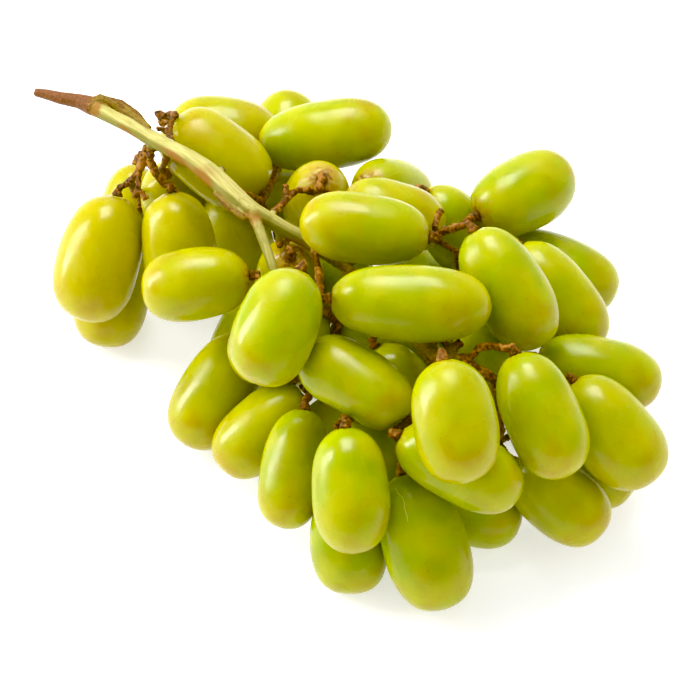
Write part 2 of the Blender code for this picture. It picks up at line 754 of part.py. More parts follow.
def keep_largest(mesh):
    """Drops the loose slivers that a join of tubes can leave inside a bend."""
    shape = bmesh.new()
    shape.from_mesh(mesh)
    left = set(shape.verts)
    groups = []
    while left:
        group = [left.pop()]
        for vertex in group:
            for edge in vertex.link_edges:
                other = edge.other_vert(vertex)
                if other in left:
                    left.remove(other)
                    group.append(other)
        groups.append(group)
    groups.sort(key=len)
    for group in groups[:-1]:
        bmesh.ops.delete(shape, geom=group, context="VERTS")
    shape.to_mesh(mesh)
    shape.free()


def make_stalk(branches, pedicels):
    """The whole stalk: the rachis joined with its branches and pedicels."""
    rachis = tube("stalk", branches[0], BRANCH_RESOLUTION)
    bpy.context.scene.collection.objects.link(rachis)
    roots = bpy.data.collections.new("stalk_roots")
    bpy.context.scene.collection.children.link(roots)
    for line in branches[1:]:
        roots.objects.link(tube("branch", line, PEDICEL_RESOLUTION))
    for line in pedicels:
        roots.objects.link(tube("pedicel", line, PEDICEL_RESOLUTION))
    join = rachis.modifiers.new("join", "BOOLEAN")
    join.operation = "UNION"
    join.operand_type = "COLLECTION"
    join.collection = roots
    join.solver = "EXACT"
    mesh = bpy.data.meshes.new_from_object(rachis.evaluated_get(bpy.context.evaluated_depsgraph_get()))
    mesh.name = "stalk"
    keep_largest(mesh)
    rachis.modifiers.clear()
    for piece in list(roots.objects):
        bpy.data.objects.remove(piece)
    bpy.data.collections.remove(roots)
    bpy.data.objects.remove(rachis)
    mesh.shade_smooth()
    return bpy.data.objects.new("stalk", mesh)


def make_material(name, colour, roughness):
    material = bpy.data.materials.new(name)
    material.use_nodes = True
    shader = material.node_tree.nodes["Principled BSDF"]
    shader.inputs["Base Color"].default_value = colour
    shader.inputs["Roughness"].default_value = roughness
    shader.inputs["Metallic"].default_value = 0.0
    return material


def centre_on_origin(pieces):
    """Slides the pieces so that the origin is under the middle of their common box."""
    corners = []
    for piece in pieces:
        corners += [piece.matrix_world @ vertex.co for vertex in piece.data.vertices]
    corners = np.array(corners)
    middle = (corners.min(axis=0) + corners.max(axis=0)) / 2
    for piece in pieces:
        piece.location -= Vector((middle[0], middle[1], 0))
    return middle


def main():
    for old in list(bpy.data.objects):
        bpy.data.objects.remove(old)
    branches = [branch_line(rows) for rows in (RACHIS, *BRANCHES)]
    beads = [beads_along(line) for line in branches]
    bunch = Bunch()
    settle(bunch, np.vstack([b[0] for b in beads]), np.concatenate([b[1] for b in beads]))
    branches += deep_lines(bunch)
    pedicels = pedicel_lines(bunch, branches)
    flats = flats_of(bunch, branches, pedicels)

    draw = random.Random(SHAPE_SEED)
    pieces = [make_stalk(branches, pedicels)]
    pieces[0].data.materials.append(make_material("stalk", STALK_COLOUR, STALK_ROUGHNESS))
    for i in range(len(bunch.middle)):
        name = f"grape_{i + 1:02d}"
        grape = make_grape(name, bunch, i, flats[i], draw)
        grape.data.materials.append(make_material(name, SKIN_COLOUR, SKIN_ROUGHNESS))
        pieces.append(grape)
    collection = bpy.data.collections.new("bunch_of_grapes")
    bpy.context.scene.collection.children.link(collection)
    for piece in pieces:
        collection.objects.link(piece)
    bpy.context.view_layer.update()
    centre_on_origin(pieces)


if __name__ == "__main__":
    main()
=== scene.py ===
# %% [markdown]
# # A bunch of long green table grapes
#
# The bunch lies on a pale surface, as it does on a greengrocer's table. It has two kinds of piece:
# the grapes, with a thin translucent skin over wet flesh, and the stalk, which is wood and fibre.
# The solids of both are already there, with flat facets. This lesson gives each of them its real
# surface: a finer mesh that follows the solid, and a finish built from nodes.

# %% Load the solids
import math
import random

import bmesh
import bpy
import numpy as np
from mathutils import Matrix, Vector, noise
from mathutils.bvhtree import BVHTree


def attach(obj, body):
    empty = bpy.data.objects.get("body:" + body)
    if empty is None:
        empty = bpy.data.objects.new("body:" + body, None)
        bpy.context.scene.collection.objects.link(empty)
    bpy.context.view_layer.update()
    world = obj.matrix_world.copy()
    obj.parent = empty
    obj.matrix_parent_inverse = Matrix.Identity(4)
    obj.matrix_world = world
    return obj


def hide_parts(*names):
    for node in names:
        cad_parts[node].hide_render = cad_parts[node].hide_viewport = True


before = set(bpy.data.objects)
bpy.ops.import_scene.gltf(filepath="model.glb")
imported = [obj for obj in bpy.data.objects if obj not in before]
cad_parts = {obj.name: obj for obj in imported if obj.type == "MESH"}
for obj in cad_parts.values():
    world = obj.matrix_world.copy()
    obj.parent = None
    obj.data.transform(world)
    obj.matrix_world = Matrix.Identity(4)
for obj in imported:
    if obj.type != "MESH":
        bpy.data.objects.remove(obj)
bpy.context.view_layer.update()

MM = 0.001  # one millimetre in metres
GRAPES = sorted(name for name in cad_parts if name.startswith("grape"))

# %% [markdown]
# ## The camera
#
# The eye looks down at 45 degrees from 80 cm away. A long lens keeps the near and the far grapes
# almost the same size, as it does in a photograph for a shop. A board stands behind the bunch,
# square to the line of sight: a thing can then be placed by where it shows and by its height.

# %% Camera
SIGHT_ELEVATION = math.radians(45.0)
EYE_DISTANCE = 0.800
FRAME_WIDTH = 0.175  # what the frame takes in at the board
SENSOR_WIDTH = 36.0
BOARD_MIDDLE = Vector((0.00186, -0.01779, 0.030))
BOARD_RIGHT = Vector((1.0, 0.0, 0.0))
BOARD_UP = Vector((0.0, math.sin(SIGHT_ELEVATION), math.cos(SIGHT_ELEVATION)))
TOWARDS_EYE = Vector((0.0, -math.cos(SIGHT_ELEVATION), math.sin(SIGHT_ELEVATION)))
EYE = BOARD_MIDDLE + EYE_DISTANCE * TOWARDS_EYE

camera = bpy.data.objects.new("camera", bpy.data.cameras.new("camera"))
camera.data.sensor_width = SENSOR_WIDTH
camera.data.lens = SENSOR_WIDTH * EYE_DISTANCE / FRAME_WIDTH
camera.location = EYE
camera.rotation_euler = (-TOWARDS_EYE).to_track_quat("-Z", "Y").to_euler()
bpy.context.scene.collection.objects.link(camera)
bpy.context.scene.camera = camera
print("lens:", round(camera.data.lens, 1), "mm")


def by_sight(across, rise, height):
    """The point, in metres, that shows at a place on the board and is that high, all in mm."""
    end = BOARD_MIDDLE + (across * BOARD_RIGHT + rise * BOARD_UP) * MM
    share = (EYE.z - height * MM) / (EYE.z - end.z)
    return EYE + share * (end - EYE)


# %% [markdown]
# ## The skin's shape
#
# A grape's solid is a barrel of flat facets, pressed in a little where it touches its neighbours.
# The real skin is round and taut. A fine sphere is laid inside each solid, and each of its points
# goes out along its own ray until it meets the solid. The distances then hold the facets as fast
# waves, and the barrel and its pressed sides as slow ones. Keeping only the slow waves melts the
# facets and leaves the form, which no plain subdivision of the facets would do as well.

# %% Finding a grape's ends
STALK_NODE = "stalk"
FLAT_END_FACING = 0.93  # cosine: a facet that faces this near to outward belongs to the flat stem end
FLAT_END_REACH = 3.5 * MM


def closed_copy(node):
    """The merged triangles of a solid, in a mesh of their own."""
    shape = bmesh.new()
    shape.from_mesh(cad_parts[node].data)
    bmesh.ops.remove_doubles(shape, verts=shape.verts, dist=1e-6)
    bmesh.ops.recalc_face_normals(shape, faces=shape.faces)
    return shape


stalk_solid = closed_copy(STALK_NODE)
stalk_tree = BVHTree.FromBMesh(stalk_solid)
print("stalk: triangles", len(stalk_solid.faces))


def stem_and_length(solid):
    """Where the pedicel sits on a grape, the unit axis from there to the blossom end, the length."""
    points = np.array([vertex.co for vertex in solid.verts])
    heart = (points.max(axis=0) + points.min(axis=0)) / 2
    long_way = Vector(np.linalg.eigh(np.cov((points - points.mean(axis=0)).T))[1][:, 2])
    reach = (points - heart) @ np.array(long_way)
    ends = [Vector(heart) + long_way * float(reach.max()), Vector(heart) + long_way * float(reach.min())]
    ends.sort(key=lambda end: stalk_tree.find_nearest(end)[3])
    outward = (ends[0] - ends[1]).normalized()
    flat = [face for face in solid.faces if face.normal.dot(outward) > FLAT_END_FACING
            and (face.calc_center_median() - ends[0]).length < FLAT_END_REACH]
    if flat:
        outward = sum((face.normal * face.calc_area() for face in flat), Vector()).normalized()
        corners = {vertex for face in flat for vertex in face.verts}
        stem = sum((vertex.co for vertex in corners), Vector()) / len(corners)
    else:
        stem = ends[0]
    axis = -outward
    length = max((vertex.co - stem).dot(axis) for vertex in solid.verts)
    return stem, axis, length


# %% Melting the facets
COLUMNS = 64  # points round a grape
RINGS = 40  # rows of points from end to end
ROUND_WAVES = 5.0  # waves round the grape that are kept
LONG_WAVES = 7.5  # waves over the length and back that are kept
FACET_LOSS = 1.012  # twelve flat sides lie this much inside the round skin
SLIMNESS = 1.5  # a grape's length over its thickness, so that the rows of points lie evenly


def keep_slow(values, most, axis):
    """Fades out the waves that are faster than most, along one axis of a periodic table."""
    waves = np.fft.rfft(values, axis=axis)
    fade = np.exp(-(np.arange(waves.shape[axis]) / most) ** 4)
    waves *= fade[:, None] if axis == 0 else fade[None, :]
    return np.fft.irfft(waves, n=values.shape[axis], axis=axis)


def soften(reach):
    """Melts the facets out of a table of distances, ring by column."""
    half = COLUMNS // 2
    loop = np.vstack((reach[:, :half], reach[-2:0:-1, half:]))
    loop = keep_slow(loop, LONG_WAVES, 0)
    out = np.empty_like(reach)
    out[:, :half] = loop[: RINGS + 1]
    out[1:RINGS, half:] = loop[RINGS + 1:][::-1]
    out[0, :] = out[0, :half].mean()
    out[RINGS, :] = out[RINGS, :half].mean()
    return keep_slow(out, ROUND_WAVES, 1) * FACET_LOSS


def skin_directions(slimness):
    """Unit rays from a grape's middle, ring by column; ring 0 is the blossom end."""
    down = np.arange(RINGS + 1) * math.pi / RINGS
    turn = np.arange(COLUMNS) * 2 * math.pi / COLUMNS
    rays = np.empty((RINGS + 1, COLUMNS, 3))
    rays[..., 0] = np.sin(down)[:, None] * np.cos(turn)[None]
    rays[..., 1] = np.sin(down)[:, None] * np.sin(turn)[None]
    rays[..., 2] = slimness * np.cos(down)[:, None]
    return rays / np.linalg.norm(rays, axis=2, keepdims=True)


SKIN_RAYS = skin_directions(SLIMNESS)
print("rays to a skin:", SKIN_RAYS.shape[0] * SKIN_RAYS.shape[1])

# %% [markdown]
# The two ends of a grape tell what it is. At the stem end the skin dips into a small cup, with a
# slightly raised rim, where the pedicel's brush holds it. At the blossom end the dried style left
# a dot. The skin between them isn't a perfect barrel either: slow lumps a tenth of a millimetre
# high are enough to bend a highlight.

# %% Sizes on one grape, in mm
CUP_DEPTH, CUP_RADIUS = 0.45, 1.5  # at the stem end
RIM_HEIGHT, RIM_RADIUS, RIM_WIDTH = 0.16, 2.5, 0.7
WRINKLE_HEIGHT, WRINKLE_RADIUS, WRINKLE_WIDTH = 0.07, 3.0, 1.3
WRINKLES = 9  # round the cup
SCAR_HEIGHT, SCAR_RADIUS = 0.12, 0.55  # the dried style, at the blossom end
LUMP_HEIGHT, LUMP_SIZE = 0.20, 8.0
RIPPLE_HEIGHT, RIPPLE_SIZE = 0.03, 2.6
SPREAD = 37.0  # between the grapes in the pattern's own space, so that no two are alike
print("cup:", CUP_DEPTH, "mm deep, with", WRINKLES, "wrinkles round it")

# %% [markdown]
# The sun ripens a bunch unevenly. Grapes near the stalk's cut end have gone from green to amber, and
# a few have rubbed against the stalk, which leaves brown cork round their stem ends. Both are given
# by the grape's number. The grapes that are not listed draw a low share of each.

# %% How ripe and how corky each grape is
SKIN_SEED = 7
AMBER = {  # from 0, green, to 1, amber
    1: 1.0, 2: 0.75, 3: 0.85, 4: 0.5, 5: 0.9, 6: 0.75, 7: 0.8, 8: 0.6, 11: 0.6, 12: 1.0, 14: 0.5, 15: 0.6,
    20: 0.5, 21: 0.45, 26: 0.4, 28: 0.15, 30: 0.45, 31: 0.4, 33: 0.4, 40: 0.8,
}
RUSSET_STEMS = {4: 1.0, 12: 1.0, 13: 1.0, 14: 0.6, 37: 0.8, 40: 1.0}  # from 0, clean, to 1, corky
DRAWN_RIPENESS = (0.0, 0.3)
DRAWN_RUSSET = (0.05, 0.35)
print("grapes with a ripeness of their own:", len(AMBER))

# %% A skin for every grape


def make_skin(node, number):
    """A fine skin for one grape, with what its finish needs to know at each point."""
    solid = closed_copy(node)
    stem, axis, length = stem_and_length(solid)
    tree = BVHTree.FromBMesh(solid)
    solid.free()
    middle = stem + axis * length / 2
    turn = axis.to_track_quat("Z", "Y").to_matrix()
    reach = np.empty((RINGS + 1, COLUMNS))
    for ring in range(RINGS + 1):
        for column in range(COLUMNS):
            hit = tree.ray_cast(middle, turn @ Vector(SKIN_RAYS[ring, column]))
            reach[ring, column] = hit[3]
    places = SKIN_RAYS * soften(reach)[..., None] / MM

    draw = random.Random(SKIN_SEED + number)
    ripe = AMBER.get(number, draw.uniform(*DRAWN_RIPENESS))
    corky = RUSSET_STEMS.get(number, draw.uniform(*DRAWN_RUSSET))
    shape = bmesh.new()
    bmesh.ops.create_uvsphere(shape, u_segments=COLUMNS, v_segments=RINGS, radius=1)
    along = shape.verts.layers.float.new("along")
    off_axis = shape.verts.layers.float.new("off_axis")
    ripeness = shape.verts.layers.float.new("ripeness")
    russet = shape.verts.layers.float.new("russet")
    place = shape.verts.layers.float_vector.new("place")
    half = length / MM / 2
    for vertex in shape.verts:
        ring = round(math.acos(max(-1.0, min(1.0, vertex.co.z))) / math.pi * RINGS)
        column = round(math.atan2(vertex.co.y, vertex.co.x) / (2 * math.pi) * COLUMNS) % COLUMNS
        point = Vector(places[ring, column])
        apart = math.hypot(point.x, point.y)
        spot = Vector((point.x + SPREAD * number, point.y, point.z))
        lump = LUMP_HEIGHT * noise.noise(spot / LUMP_SIZE) + RIPPLE_HEIGHT * noise.noise(spot / RIPPLE_SIZE)
        point *= 1 + lump / max(point.length, 1.0)
        if point.z < 0:
            cup = CUP_DEPTH * math.exp(-(apart / CUP_RADIUS) ** 2)
            rim = RIM_HEIGHT * math.exp(-((apart - RIM_RADIUS) / RIM_WIDTH) ** 2)
            ray = math.atan2(point.y, point.x)
            fold = math.sin(WRINKLES * ray + 2.0 * math.sin(2 * ray + number))
            fold *= WRINKLE_HEIGHT * math.exp(-((apart - WRINKLE_RADIUS) / WRINKLE_WIDTH) ** 2)
            point.z += cup - rim - fold
        else:
            point.z += SCAR_HEIGHT * math.exp(-(apart / SCAR_RADIUS) ** 2)
        vertex[along] = max(0.0, min(1.0, (point.z / half + 1) / 2))
        vertex[off_axis] = apart
        vertex[ripeness] = ripe
        vertex[russet] = corky
        vertex[place] = spot
        vertex.co = middle + turn @ (point * MM)
        vertex.co.z = max(vertex.co.z, 0.0)
    mesh = bpy.data.meshes.new(node + "_skin")
    shape.to_mesh(mesh)
    shape.free()
    mesh.shade_smooth()
    skin = bpy.data.objects.new(node + "_skin", mesh)
    bpy.context.scene.collection.objects.link(skin)
    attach(skin, "root")
    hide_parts(node)
    return skin, stem


skins, stems = zip(*[make_skin(node, number) for number, node in enumerate(GRAPES, start=1)])
print("skins:", len(skins), "with", sum(len(skin.data.polygons) for skin in skins), "faces in all")

# %% [markdown]
# A long scratch on one of the lowest grapes has healed into a thin pale ridge. It is a fine tube
# that lies on the skin: places that show on the board are carried along the line of sight until
# they meet the grape.

# %% The healed scratch
SCRATCHED = 25
SCRATCH_LINE = (  # across and rise on the board
    (11.4, -34.6), (12.0, -35.8), (13.1, -36.8), (13.6, -38.3), (13.7, -39.8), (14.3, -41.6), (14.4, -42.9),
)
SCRATCH_RADIUS = 0.09 * MM

scratched_skin = bmesh.new()
scratched_skin.from_mesh(skins[SCRATCHED - 1].data)
skin_tree = BVHTree.FromBMesh(scratched_skin)
scratched_skin.free()
curve = bpy.data.curves.new("scratch_line", "CURVE")
curve.dimensions = "3D"
curve.bevel_depth = SCRATCH_RADIUS
curve.bevel_resolution = 1
curve.use_fill_caps = True
spline = curve.splines.new("POLY")
spline.points.add(len(SCRATCH_LINE) - 1)
for point, (across, rise_there) in zip(spline.points, SCRATCH_LINE):
    hit = skin_tree.ray_cast(EYE, (by_sight(across, rise_there, 0) - EYE).normalized())[0]
    point.co = (*hit, 1.0)
drawn = bpy.data.objects.new("scratch_line", curve)
bpy.context.scene.collection.objects.link(drawn)
scratch_mesh = bpy.data.meshes.new_from_object(drawn.evaluated_get(bpy.context.evaluated_depsgraph_get()))
scratch_mesh.name = "healed_scratch"
bpy.data.objects.remove(drawn)
sealed = bmesh.new()
sealed.from_mesh(scratch_mesh)
bmesh.ops.remove_doubles(sealed, verts=sealed.verts, dist=1e-7)
bmesh.ops.recalc_face_normals(sealed, faces=sealed.faces)
sealed.to_mesh(scratch_mesh)
sealed.free()
scratch_mesh.shade_smooth()
scratch = bpy.data.objects.new("healed_scratch", scratch_mesh)
bpy.context.scene.collection.objects.link(scratch)
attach(scratch, "root")
print("scratch:", len(scratch_mesh.polygons), "faces")

# %% [markdown]
# ## The skin's finish
#
# A green grape is a thin waxy skin over clear, wet flesh. Light goes in, scatters for a few
# millimetres and comes out yellow-green, so the shaded side glows and nothing on it is black.
# Subsurface scattering gives that. Over it lie a soft gloss, broken by the bloom (the pale wax that
# fingers rub off), faint veins from end to end, small brown specks, and russet at the stem end.

# %% Colour and node helpers
SRGB_KNEE, SRGB_FOOT_SLOPE = 0.04045, 12.92  # below the knee an sRGB value is a straight line


def linear(hex_colour):
    """An sRGB hex colour as the linear colour that a shader wants."""
    values = [int(hex_colour[i:i + 2], 16) / 255 for i in (1, 3, 5)]
    return (*[v / SRGB_FOOT_SLOPE if v <= SRGB_KNEE else ((v + 0.055) / 1.055) ** 2.4 for v in values], 1.0)


def add(tree, kind, feeds, **settings):
    """Adds a node: feeds maps an input to a value or to the output that is linked to it."""
    node = tree.nodes.new(kind)
    for name, value in settings.items():
        setattr(node, name, value)
    for socket, value in feeds.items():
        if isinstance(value, bpy.types.NodeSocket):
            tree.links.new(value, node.inputs[socket])
        else:
            node.inputs[socket].default_value = value
    return node


def new_material(name):
    """A material with an empty tree but for its shader."""
    material = bpy.data.materials.new(name)
    material.use_nodes = True
    return material, material.node_tree, material.node_tree.nodes["Principled BSDF"]


print("mid grey in linear light:", round(linear("#808080")[0], 3))

# %% Grape skin: green and yellow patches, and veins
SKIN_GREEN = "#869a02"
SKIN_YELLOW = "#a1a605"
SKIN_AMBER = "#ac9b07"
SKIN_VEIN = "#adaf10"
PATCH_SIZE = 9.0  # mm
VEIN_WIDTH, VEIN_LENGTH = 1.1, 14.0  # mm

skin_material, tree, shader = new_material("waxy_translucent_grape_skin")
place = add(tree, "ShaderNodeAttribute", {}, attribute_name="place").outputs["Vector"]
along = add(tree, "ShaderNodeAttribute", {}, attribute_name="along").outputs["Fac"]
off_axis = add(tree, "ShaderNodeAttribute", {}, attribute_name="off_axis").outputs["Fac"]
ripeness = add(tree, "ShaderNodeAttribute", {}, attribute_name="ripeness").outputs["Fac"]
russet = add(tree, "ShaderNodeAttribute", {}, attribute_name="russet").outputs["Fac"]


def mix(tree, share, under, over):
    """Lays one colour over another by a share; each is an output or an sRGB hex string."""
    feeds = {0: share, 6: under, 7: over}
    feeds = {socket: linear(value) if isinstance(value, str) else value for socket, value in feeds.items()}
    return add(tree, "ShaderNodeMix", feeds, data_type="RGBA").outputs[2]


def spread_out(tree, value, low, high, start=0.0, end=1.0):
    """Turns the range from low to high of a value into the range from start to end."""
    return add(tree, "ShaderNodeMapRange", {0: value, 1: low, 2: high, 3: start, 4: end},
               interpolation_type="SMOOTHSTEP").outputs[0]


def times(tree, one, other):
    """The product of two values."""
    return add(tree, "ShaderNodeMath", {0: one, 1: other}, operation="MULTIPLY").outputs[0]


patches = add(tree, "ShaderNodeTexNoise", {"Vector": place, "Scale": 1 / PATCH_SIZE, "Detail": 1.0})
colour = mix(tree, spread_out(tree, patches.outputs["Fac"], 0.28, 0.74), SKIN_GREEN, SKIN_YELLOW)
blossom_end = spread_out(tree, along, 0.55, 1.0, 0.0, 0.35)
amber_share = add(tree, "ShaderNodeMath", {0: ripeness, 1: blossom_end}, operation="ADD", use_clamp=True)
colour = mix(tree, times(tree, amber_share.outputs[0], 0.75), colour, SKIN_AMBER)
stretched = add(tree, "ShaderNodeMapping",
                {"Vector": place, "Scale": (1 / VEIN_WIDTH, 1 / VEIN_WIDTH, 1 / VEIN_LENGTH)})
veins = add(tree, "ShaderNodeTexNoise", {"Vector": stretched.outputs[0], "Scale": 1.0, "Detail": 2.0})
colour = mix(tree, spread_out(tree, veins.outputs["Fac"], 0.5, 0.75, 0.0, 0.16), colour, SKIN_VEIN)
print("skin nodes with patches and veins:", len(tree.nodes))

# %% Grape skin: specks, amber blushes, russet and the dot of the style
SPECK_SPACING = 1.15  # mm; the real ones are finer, and would be lost at the size of the picture
BLUSH_SIZE = 6.25  # mm
CORK_PATCHES = 0.7  # to a mm
SPECK_BROWN = "#5f4a0c"
BLUSH = "#9e780a"
RUSSET = "#7a4620"
RUSSET_PALE = "#a8803e"
SCAR_BROWN = "#4a3210"

specks = add(tree, "ShaderNodeTexVoronoi", {"Vector": place, "Scale": 1 / SPECK_SPACING})
speck_draw = add(tree, "ShaderNodeSeparateColor", {0: specks.outputs["Color"]})
blotches = add(tree, "ShaderNodeTexNoise", {"Vector": place, "Scale": 1 / BLUSH_SIZE, "Detail": 1.0})
in_blotch = times(tree, spread_out(tree, blotches.outputs["Fac"], 0.34, 0.78),
                  spread_out(tree, along, 0.4, 0.9, 0.3, 1.0))
colour = mix(tree, times(tree, in_blotch, 0.5), colour, BLUSH)
speck_reach = spread_out(tree, speck_draw.outputs[0], 0.5, 1.0, 0.02, 0.17)
speck_edge = add(tree, "ShaderNodeMath", {0: speck_reach, 1: specks.outputs["Distance"]},
                 operation="SUBTRACT")
speck_share = times(tree, spread_out(tree, speck_edge.outputs[0], 0.0, 0.06),
                    spread_out(tree, in_blotch, 0.0, 0.5, 0.14, 0.95))
colour = mix(tree, speck_share, colour, SPECK_BROWN)

cork = add(tree, "ShaderNodeTexNoise",
           {"Vector": place, "Scale": CORK_PATCHES, "Detail": 5.0, "Roughness": 0.65})
ragged = spread_out(tree, cork.outputs["Fac"], 0.3, 0.7, -1.6, 1.6)
stem_edge = add(tree, "ShaderNodeMath", {0: off_axis, 1: ragged}, operation="ADD").outputs[0]
stem_half = add(tree, "ShaderNodeMath", {0: along, 1: 0.3}, operation="LESS_THAN").outputs[0]
# a wide pale ring, and a narrow dark one on it: from full to none in mm off the axis, and the share
for low, high, most, shade in ((2.2, 6.4, 0.8, RUSSET_PALE), (1.2, 3.6, 0.95, RUSSET)):
    share = times(tree, spread_out(tree, stem_edge, low, high, most, 0.0), stem_half)
    colour = mix(tree, times(tree, share, russet), colour, shade)

blossom_half = add(tree, "ShaderNodeMath", {0: along, 1: 0.7}, operation="GREATER_THAN").outputs[0]
scar_share = times(tree, spread_out(tree, off_axis, 0.3, 0.7, 0.85, 0.0), blossom_half)
colour = mix(tree, scar_share, colour, SCAR_BROWN)
print("skin nodes with specks, russet and the style's dot:", len(tree.nodes))

# %% Grape skin: bloom, gloss and depth
BLOOM_PALE = "#c0c42c"
BLOOM_SIZE = 6.0  # mm
GRAIN_SIZE = 0.7  # mm; the real pores are finer, and would be lost at the size of the picture
STREAK_DEPTH = 0.02 * MM
GRAIN_DEPTH = 0.03 * MM
LIGHT_REACH = 9.0 * MM  # how far red light gets in the flesh; green nearly as far, blue hardly
SCAR_PALE = "#c9c878"

rubbed = add(tree, "ShaderNodeTexNoise", {"Vector": place, "Scale": 1 / BLOOM_SIZE, "Detail": 1.0})
colour = mix(tree, spread_out(tree, rubbed.outputs["Fac"], 0.3, 0.8, 0.0, 0.14), colour, BLOOM_PALE)
dull = spread_out(tree, rubbed.outputs["Fac"], 0.3, 0.75, 0.19, 0.36)
grain = add(tree, "ShaderNodeTexNoise", {"Vector": place, "Scale": 1 / GRAIN_SIZE, "Detail": 3.0})
streaks = add(tree, "ShaderNodeBump",
              {"Height": veins.outputs["Fac"], "Strength": 1.0, "Distance": STREAK_DEPTH})
bump = add(tree, "ShaderNodeBump", {"Height": grain.outputs["Fac"], "Strength": 0.35,
                                    "Distance": GRAIN_DEPTH, "Normal": streaks.outputs["Normal"]})
tree.links.new(colour, shader.inputs["Base Color"])
tree.links.new(dull, shader.inputs["Roughness"])
tree.links.new(bump.outputs["Normal"], shader.inputs["Normal"])
shader.inputs["IOR"].default_value = 1.42
shader.inputs["Subsurface Weight"].default_value = 0.9
shader.inputs["Subsurface Radius"].default_value = (1.0, 0.95, 0.1)
shader.inputs["Subsurface Scale"].default_value = LIGHT_REACH
for skin in skins:
    skin.data.materials.append(skin_material)
# the healed scratch is dry cork: paler than the skin, and without its gloss
scar_material, _, scar_shader = new_material("corky_pale_scar")
scar_shader.inputs["Base Color"].default_value = linear(SCAR_PALE)
scar_shader.inputs["Roughness"].default_value = 0.5
scratch.data.materials.append(scar_material)
print("skin material:", len(tree.nodes), "nodes")

# %% [markdown]
# ## The stalk's shape
#
# The stalk's solid is a net of plain tubes. The real one is grown: it swells where branches meet,
# runs in lengthwise fibres, and its pedicels are warty, with a knob under each grape. A voxel
# remesh makes one even skin over all the tubes, smoothing melts their facets and welds the joints,
# and noise pushed along the normals raises the fibres and the warts.

# %% One even skin over the stalk
STALK_VOXEL = 0.30 * MM
SMOOTHING_ROUNDS = 6
SHRINK, SWELL = 0.5, -0.52  # the swell is a little stronger, so that the stalk keeps its thickness


def even_skin(shape):
    """A mesh of small even faces over a closed shape."""
    mesh = bpy.data.meshes.new("stalk_solid")
    shape.to_mesh(mesh)
    wrapped = bpy.data.objects.new("stalk_wrap", mesh)
    bpy.context.scene.collection.objects.link(wrapped)
    remesh = wrapped.modifiers.new("even", "REMESH")
    remesh.mode = "VOXEL"
    remesh.voxel_size = STALK_VOXEL
    fine = bpy.data.meshes.new_from_object(wrapped.evaluated_get(bpy.context.evaluated_depsgraph_get()))
    bpy.data.objects.remove(wrapped)
    bpy.data.meshes.remove(mesh)
    return fine


def even_out(points, edges, rounds):
    """Smooths points along their edges, in pairs of steps that shrink and then swell."""
    count = np.bincount(edges.ravel(), minlength=len(points))[:, None]
    for step in range(2 * rounds):
        total = np.zeros_like(points)
        np.add.at(total, edges[:, 0], points[edges[:, 1]])
        np.add.at(total, edges[:, 1], points[edges[:, 0]])
        points = points + (SHRINK if step % 2 == 0 else SWELL) * (total / count - points)
    return points


stalk_mesh = even_skin(stalk_solid)
stalk_points = np.array([vertex.co for vertex in stalk_mesh.vertices])
stalk_edges = np.array([edge.vertices[:] for edge in stalk_mesh.edges])
stalk_points = even_out(stalk_points, stalk_edges, SMOOTHING_ROUNDS)
print("stalk: points", len(stalk_points), "faces", len(stalk_mesh.polygons))

# %% [markdown]
# Which part of the stalk a point belongs to settles its look. The woody end, the pale rachis and
# the pale branch are given by a few places on their middle lines, and each point of the skin takes
# how near it is to those lines, and how far along them. The rest is brown, warty pedicel.

# %% Guide lines through the stalk, as across, rise and height in mm
WOODY_LINE = ((-78.8, 64.5, 62), (-72.5, 63.0, 62), (-66.5, 62.0, 62))
RACHIS_LINE = (
    (-62.0, 59.5, 62), (-55.0, 56.1, 62), (-45.0, 50.5, 61), (-35.8, 44.8, 60), (-27.5, 37.3, 58),
    (-20.0, 32.3, 54), (-10.0, 26.8, 48), (-1.3, 20.8, 44), (6.0, 15.0, 41), (18.8, 0.8, 46),
    (25.0, -2.0, 50),
)
SHOOT_LINE = ((-64.0, 62.0, 62.5), (-57.5, 61.3, 62.5), (-50.2, 55.3, 61.5))
BRACT_LINE = ((-33.5, 38.6, 58), (-30.0, 34.9, 57), (-26.0, 32.2, 56))
PALE_BRANCH_LINE = ((-24.5, 33.8, 56), (-21.3, 26.3, 52), (-18.0, 16.3, 45.5), (-13.0, -1.0, 35))


def line_by_sight(places):
    """A guide line's points in metres."""
    return np.array([by_sight(*place) for place in places])


def nearest_on(line, points):
    """For each point: its distance from a line, how far along it is, and its offset from it."""
    best = np.full(len(points), np.inf)
    far_along = np.zeros(len(points))
    offset = np.zeros_like(points)
    start = 0.0
    for a, b in zip(line, line[1:]):
        run = b - a
        length = np.linalg.norm(run)
        share = np.clip((points - a) @ run / length**2, 0, 1)
        away = points - a - share[:, None] * run
        distance = np.linalg.norm(away, axis=1)
        nearer = distance < best
        best[nearer] = distance[nearer]
        far_along[nearer] = start + share[nearer] * length
        offset[nearer] = away[nearer]
        start += length
    return best, far_along, offset


def ease(values, low, high):
    """0 below low, 1 above high, and smooth between them."""
    share = np.clip((values - low) / (high - low), 0, 1)
    return share * share * (3 - 2 * share)


rachis_runs = np.diff(line_by_sight(RACHIS_LINE), axis=0)
print("rachis:", round(float(np.linalg.norm(rachis_runs, axis=1).sum()) / MM), "mm long")

# %% The part that each point belongs to
WOODY_EDGE = (2.6 * MM, 4.2 * MM)  # from a middle line: where a part begins to fade, and where it ends
SHOOT_EDGE = (2.0 * MM, 2.7 * MM)
BRACT_EDGE = (0.9 * MM, 1.5 * MM)
RACHIS_EDGE = (2.9 * MM, 3.5 * MM)
BRANCH_EDGE = (1.9 * MM, 2.4 * MM)
RACHIS_BROWNS = (62 * MM, 80 * MM)  # along a middle line, where the pale bark goes brown
BRANCH_BROWNS = (22 * MM, 36 * MM)
PALENESS_LOST = 0.75  # at the rachis's far end
SHOOT_DARKENS = 0.5


